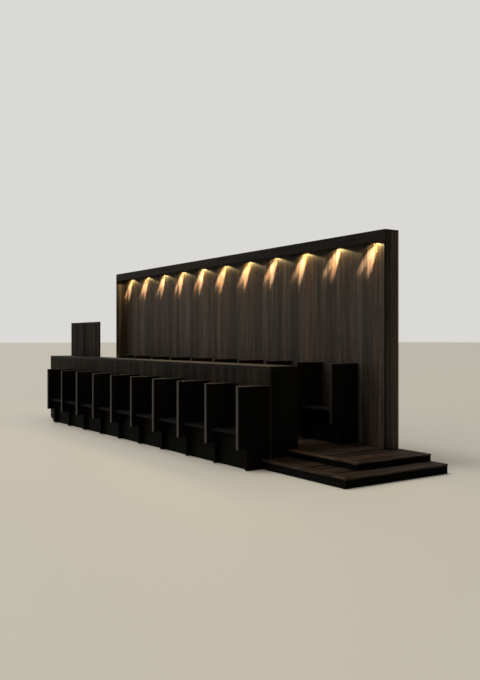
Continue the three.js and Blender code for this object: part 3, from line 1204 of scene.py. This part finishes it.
@dataclass
class HighScreen(Assembly):
    """Two tall leaves of upright boards behind the desk's far places, with a shadow gap between them."""

    boarding: Boarding = Boarding(Axis.ALONG, 0.1, Axis.UPRIGHT, arris=0.0016, joint=0.0)
    rail: float = 0.03
    rebate: float = 0.016
    tongue: float = 0.006
    tongue_arris: float = 0.0008
    joint: float = 0.0004

    def build(self) -> None:
        """Builds both leaves."""
        self._leaf("high_screen_far", from_low=0.0, from_high=self.rebate)
        self._leaf("high_screen_near", from_low=self.rebate, from_high=0.0)

    def _leaf(self, node: str, from_low: float, from_high: float) -> None:
        """Builds one leaf: boards under a rail, on a sheet that runs on as a tongue behind the shadow gap.

        Args:
            node: The model's node for it.
            from_low: How far the boards stop short of its low end.
            from_high: How far they stop short of its high end.
        """
        low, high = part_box(node)
        left, right = low.x + from_low, high.x - from_high
        back, under = high.y - self.tongue, high.z - self.rail
        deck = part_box("upper_deck")[1].z
        timber = Timber(f"{node}_boards")
        for start, end, foot in standing(left, right, deck):
            timber.boards((start, low.y, foot), (end, back - self.joint, under), self.boarding)
        timber.board((left, low.y, under + self.joint), (right, back - self.joint, high.z), Axis.ALONG)
        for start, end, foot in standing(low.x, high.x, deck):
            timber.board((start, back, foot), (end, high.y, high.z), Axis.UPRIGHT, self.tongue_arris)
        timber.piece(self.finishes.joinery, Slot.OAK, node)


@dataclass
class Panelling(Assembly):
    """The tall wall of narrow upright boards behind the rear row, with its returns, fascia and cove top."""

    wall: Boarding = Boarding(Axis.ALONG, 0.1, Axis.UPRIGHT, arris=0.0024)
    side: Boarding = Boarding(Axis.DEEP, 0.085, Axis.UPRIGHT, joint=0.0)
    trim: Boarding = Boarding(Axis.DEEP, WHOLE, Axis.UPRIGHT, arris=0.002)
    fascia: Boarding = Boarding(Axis.UPRIGHT, WHOLE, Axis.ALONG, arris=0.002, joint=0.0008, length=2.9)
    cove_top: Boarding = Boarding(Axis.DEEP, 0.11, Axis.ALONG, arris=0.001, joint=0.0, length=2.9)
    backing: float = 0.005
    backing_arris: float = 0.0005
    joint: float = 0.0004

    def build(self) -> None:
        """Builds the panelling and its frame of trim, of which the fascia hides the lamps."""
        self._wall()
        for end in ("near", "far"):
            self.filled(f"panelling_return_{end}", "boards", self.side, self.finishes.panelling)
            self.filled(f"return_trim_{end}", "strip", self.trim, self.finishes.joinery)
        self.filled("cove_fascia", "boards", self.fascia, self.finishes.joinery)
        self.filled("cove_top", "planks", self.cove_top, self.finishes.joinery)

    def _wall(self) -> None:
        """Builds the upright boards on their backing sheet."""
        low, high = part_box("wall_panelling")
        timber = Timber("wall_panelling_boards")
        timber.boards(low, (high.x, high.y - self.backing - self.joint, high.z), self.wall)
        timber.board((low.x, high.y - self.backing, low.z), high, Axis.UPRIGHT, self.backing_arris)
        timber.piece(self.finishes.panelling, Slot.OAK, "wall_panelling")


class Reach(Enum):
    """How light fades on its way. A shaped reflector sends more of it to the far part of its patch."""

    NATURAL = "Quadratic"
    SLOW = "Linear"
    LEVEL = "Constant"


@dataclass(frozen=True)
class Throw:
    """One cone of light: its watts, full angle, soft share, lean along the wall and rise towards it."""

    name: str
    power: float
    spread: float
    blend: float
    lean: float = 0.0
    rise: float = 0.0
    colour: int = 0xFFDC96
    oval: float = 1.0
    reach: Reach = Reach.NATURAL
    gain: float = 1.0

    def aim(self) -> Vector:
        """Gives the direction that the cone points in."""
        lean, rise = math.radians(self.lean), math.radians(self.rise)
        return Vector((-math.sin(lean) * math.cos(rise), math.sin(rise), -math.cos(lean) * math.cos(rise)))


@dataclass
class LampRow(Assembly):
    """Eleven small lamps under one folded steel rail, one in the middle of each bay of the panelling."""

    lamps: int = 11
    rail_size: float = 0.036
    sheet: float = 0.002
    rail_arris: float = 0.0006
    end_plate_inset: float = 0.0005
    end_plate_arris: float = 0.0004
    stem_radius: float = 0.009
    stem_length: float = 0.012
    stem_fillet: float = 0.001
    body_radius: float = 0.024
    shoulder_width: float = 0.003
    shoulder_drop: float = 0.002
    fins: int = 4
    fins_below_shoulder: float = 0.008
    fin_pitch: float = 0.0045
    fin_depth: float = 0.002
    fin_gap_share: float = 0.45
    fin_edge: float = 0.0004
    rim: float = 0.0015
    lens_seat: float = 0.007
    lens_radius: float = 0.0195
    lens_clearance: float = 0.0003
    lens_recess: float = 0.0008
    lens_sag: float = 0.0045
    lens_sides: int = 24
    source_radius: float = 0.012
    source_drop: float = 0.004
    # A broad beam, the two streaks that its reflector draws on the wall, and the weak spill all round
    throws: tuple[Throw, ...] = (
        Throw("lamp_beam", power=200.0, spread=44.0, blend=0.5, lean=20.6, rise=31.3, oval=1.6,
              reach=Reach.SLOW, gain=2.0),
        Throw("lamp_steep_streak", power=430.0, spread=26.0, blend=0.4, lean=19.0, rise=20.2,
              colour=0xFFD8B0, reach=Reach.LEVEL, gain=8.0),
        Throw("lamp_flat_streak", power=430.0, spread=26.0, blend=0.4, lean=40.0, rise=19.8,
              colour=0xFFD8B0, reach=Reach.LEVEL, gain=8.0),
        Throw("lamp_glow", power=14.0, spread=153.0, blend=0.1))

    def __post_init__(self) -> None:
        """Reads the lamps' places from the model."""
        self.low, self.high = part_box("lamp_row")
        self.y = (self.low.y + self.high.y) / 2
        start, end = (corner.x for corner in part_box("wall_panelling"))
        self.centres = [start + (i + 0.5) * (end - start) / self.lamps for i in range(self.lamps)]

    def build(self) -> None:
        """Builds the rail, the cans, the lenses and the light that they throw."""
        self._rail()
        self._cans()
        self._lenses()
        for x in self.centres:
            for throw in self.throws:
                self._light(x, throw)

    def _rail(self) -> None:
        """Builds the rail as a channel with its open side up to the cove's top, and a plate at each end."""
        steel = Gathered("lamp_rail")
        top, bottom = self.high.z, self.high.z - self.rail_size
        front, back = self.y - self.rail_size / 2, self.y + self.rail_size / 2
        inner_front, inner_back, inner_bottom = front + self.sheet, back - self.sheet, bottom + self.sheet
        channel = [(front, bottom), (back, bottom), (back, top), (inner_back, top),
                   (inner_back, inner_bottom), (inner_front, inner_bottom), (inner_front, top), (front, top)]
        steel.prism(channel, Axis.ALONG, self.low.x, self.high.x, self.rail_arris)
        inside = [(inner_front, inner_bottom), (inner_back, inner_bottom), (inner_back, top),
                  (inner_front, top)]
        for x in (self.low.x + self.end_plate_inset, self.high.x - self.sheet - self.end_plate_inset):
            steel.prism(inside, Axis.ALONG, x, x + self.sheet, self.end_plate_arris)
        steel.piece(self.finishes.steel, Slot.LAMP, "lamp_row")

    def _cans(self) -> None:
        """Builds the turned lamp bodies, finned near their stems."""
        steel = Gathered("lamp_cans")
        bottom, top = self.low.z, self.high.z - self.rail_size
        shoulder = top - self.stem_length
        radius, valley = self.body_radius, self.body_radius - self.fin_depth
        section = [(0, top), (self.stem_radius, top), (self.stem_radius, shoulder + self.stem_fillet),
                   (radius - self.shoulder_width, shoulder), (radius, shoulder - self.shoulder_drop)]
        for i in range(self.fins):
            z = shoulder - self.fins_below_shoulder - i * self.fin_pitch
            end = z - self.fin_pitch * self.fin_gap_share
            section += [(radius, z), (valley, z - self.fin_edge), (valley, end),
                        (radius, end - self.fin_edge)]
        section += [(radius, bottom + self.rim), (radius - self.rim / 2, bottom),
                    (radius - self.rim, bottom), (self.lens_radius, bottom + self.rim),
                    (self.lens_radius, bottom + self.lens_seat), (0, bottom + self.lens_seat)]
        for x in self.centres:
            steel.turned(section, (x, self.y, 0))
        steel.piece(self.finishes.steel, Slot.LAMP)

    def _lenses(self) -> None:
        """Builds the domed lenses, set just inside the rims."""
        glass = Gathered("lamp_lenses")
        bottom = self.low.z + self.lens_recess
        radius = self.lens_radius - self.lens_clearance
        turns = [math.radians(angle) for angle in range(0, 91, 10)]
        dome = [(radius * math.sin(turn), bottom + self.lens_sag * (1 - math.cos(turn))) for turn in turns]
        for x in self.centres:
            glass.turned([*dome, (0, bottom + self.lens_sag)], (x, self.y, 0), sides=self.lens_sides)
        lenses = glass.piece(self.finishes.lens)
        outwards = [min(math.hypot(p.x - x, p.y - self.y) for x in self.centres) / radius
                    for p in glass.points]
        lenses.data.attributes.new(FROM_AXIS, "FLOAT", "POINT").data.foreach_set("value", outwards)

    def _light(self, x: float, throw: Throw) -> None:
        """Adds one cone of the light that a lamp throws.

        Args:
            x: The lamp's place along the bank.
            throw: The cone's shape and strength.
        """
        data = bpy.data.lights.new(throw.name, "SPOT")
        data.energy = throw.power
        data.color = linear(throw.colour)[:3]
        data.spot_size = math.radians(throw.spread)
        data.spot_blend = throw.blend
        data.shadow_soft_size = self.source_radius
        data.use_nodes = True
        tree = data.node_tree
        tree.nodes.clear()
        fading = add_node(tree, "ShaderNodeLightFalloff", inputs={"Strength": throw.gain})
        source = add_node(tree, "ShaderNodeEmission", inputs={"Strength": fading.outputs[throw.reach.value]})
        add_node(tree, "ShaderNodeOutputLight", inputs={"Surface": source})
        light = bpy.data.objects.new(throw.name, data)
        light.location = (x, self.y, self.low.z - self.source_drop)
        light.rotation_euler = throw.aim().to_track_quat("-Z", "Y").to_euler()
        light.scale.x = throw.oval
        bpy.context.scene.collection.objects.link(light)


@dataclass
class BackFrame(Assembly):
    """The lattice of battens that holds the panelling off the wall, screwed at each crossing."""

    batten: float = 0.07
    bays: int = 11
    rows: int = 4
    arris: float = 0.0012
    joint: float = 0.001
    screw_inset: float = 0.018
    screw_sunk: float = 0.0005
    screw_radius: float = 0.0045
    screw_dome: float = 0.0003
    screw_depth: float = 0.0015
    screw_sides: int = 12
    recess_share: float = 0.35
    recess_depth: float = 0.0012

    def build(self) -> None:
        """Builds the battens and their screws."""
        low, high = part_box("back_frame")
        stride = (high.x - low.x - self.batten) / self.bays
        rise = (high.z - low.z - self.batten) / self.rows
        timber = Timber("back_battens")
        metal = Gathered("back_batten_screws")
        for i in range(self.bays + 1):
            x = low.x + i * stride
            timber.board((x, low.y, low.z), (x + self.batten, high.y, high.z), Axis.UPRIGHT, self.arris)
        for j in range(self.rows + 1):
            z = low.z + j * rise
            for i in range(self.bays):
                x = low.x + i * stride + self.batten
                end = x + stride - self.batten
                timber.board((x + self.joint, low.y, z), (end - self.joint, high.y, z + self.batten),
                             Axis.ALONG, self.arris)
                for place in (x + self.screw_inset, end - self.screw_inset):
                    for height in (z + self.screw_inset, z + self.batten - self.screw_inset):
                        self._screw(metal, (place, high.y - self.screw_sunk, height))
        timber.piece(self.finishes.softwood, Slot.SOFTWOOD, "back_frame")
        metal.piece(self.finishes.zinc)

    def _screw(self, metal: Gathered, centre: Corner) -> None:
        """Adds a countersunk screw head with a driven recess, looking towards the wall.

        Args:
            metal: The gathered screws.
            centre: The middle of the head, on the surface.
        """
        radius, recess = self.screw_radius, self.screw_radius * self.recess_share
        section = [(0, -self.recess_depth), (recess, -self.recess_depth), (recess, 0),
                   (radius, self.screw_dome), (radius, -self.screw_depth), (0, -self.screw_depth)]
        metal.turned(section, centre, Axis.DEEP, sides=self.screw_sides)


@dataclass
class Studio:
    """A pale floor, soft light and a camera where the photographer stood."""

    floor_reach: float = 400.0
    eye_height: float = 1.55
    from_near_end: float = 7.14
    from_front: float = 4.876
    azimuth: float = 55.5
    focal_px: float = 739.0
    sensor: float = 36.0
    light_from: tuple[float, float, float] = (-0.28, -0.34, 0.9)
    surround: int = 0xF6F5F1
    sky_dim: float = 0.03
    sky_bright: float = 1.15
    sky_full: float = 0.9
    backdrop: float = 0.76
    sun_power: float = 1.4
    sun_spread: float = 24.0

    def build(self) -> None:
        """Builds the floor, the lights and the camera."""
        self._floor()
        self._world()
        self._sun()
        self._camera()

    def _floor(self) -> None:
        """Lays the floor just under the part."""
        reach = self.floor_reach
        mesh = bpy.data.meshes.new("studio_floor")
        corners = [(-reach, -reach, 0), (reach, -reach, 0), (reach, reach, 0), (-reach, reach, 0)]
        mesh.from_pydata(corners, [], [(0, 1, 2, 3)])
        mesh.materials.append(PaleFloor().make())
        floor = bpy.data.objects.new("studio_floor", mesh)
        bpy.context.scene.collection.objects.link(floor)

    def _world(self) -> None:
        """Sets an even pale surround, which lights the part as a white room open to one side does."""
        world = bpy.data.worlds.new("studio_surround")
        world.use_nodes = True
        tree = world.node_tree
        tree.nodes.clear()
        towards = add_node(tree, "ShaderNodeTexCoord").outputs["Generated"]
        side = add_node(tree, "ShaderNodeVectorMath", {"operation": "DOT_PRODUCT"}, {
            0: towards, 1: Vector(self.light_from).normalized()})
        sky = add_node(tree, "ShaderNodeMapRange", {"interpolation_type": "SMOOTHSTEP"}, {
            "Value": side.outputs["Value"], "From Max": self.sky_full, "To Min": self.sky_dim,
            "To Max": self.sky_bright})
        seen = add_node(tree, "ShaderNodeLightPath").outputs["Is Camera Ray"]
        strength = add_node(tree, "ShaderNodeMix", inputs={0: seen, 2: sky, 3: self.backdrop})
        surround = add_node(tree, "ShaderNodeBackground", inputs={
            "Color": linear(self.surround), "Strength": strength})
        add_node(tree, "ShaderNodeOutputWorld", inputs={"Surface": surround})
        bpy.context.scene.world = world

    def _sun(self) -> None:
        """Adds one broad soft light from the front, the far end and above."""
        data = bpy.data.lights.new("broad_soft_light", "SUN")
        data.energy = self.sun_power
        data.angle = math.radians(self.sun_spread)
        light = bpy.data.objects.new("broad_soft_light", data)
        light.rotation_euler = (-Vector(self.light_from)).to_track_quat("-Z", "Y").to_euler()
        bpy.context.scene.collection.objects.link(light)

    def _camera(self) -> None:
        """Stands the camera, level, where the photograph was taken from."""
        low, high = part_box("front_divider_01")
        data = bpy.data.cameras.new("photo_camera")
        data.sensor_width = self.sensor
        data.lens = self.focal_px * self.sensor / max(IMAGE_WIDTH, IMAGE_HEIGHT)
        camera = bpy.data.objects.new("photo_camera", data)
        camera.location = (high.x + self.from_near_end, low.y - self.from_front, self.eye_height)
        camera.rotation_euler = (math.radians(90), 0, math.radians(self.azimuth))
        bpy.context.scene.collection.objects.link(camera)
        bpy.context.scene.camera = camera
        bpy.context.scene.view_settings.view_transform = "Standard"


def main() -> None:
    """Builds the bank, one sub-assembly after another."""
    logging.basicConfig(level=logging.INFO, format="%(name)s %(message)s")
    Studio().build()
    finishes = Finishes()
    assemblies = (Platform(finishes), SeatRow(finishes, "front"), BookDesk(finishes), HighScreen(finishes),
                  SeatRow(finishes, "rear"), Panelling(finishes), LampRow(finishes), BackFrame(finishes))
    for assembly in assemblies:
        assembly.build()


if __name__ == "__main__":
    main()
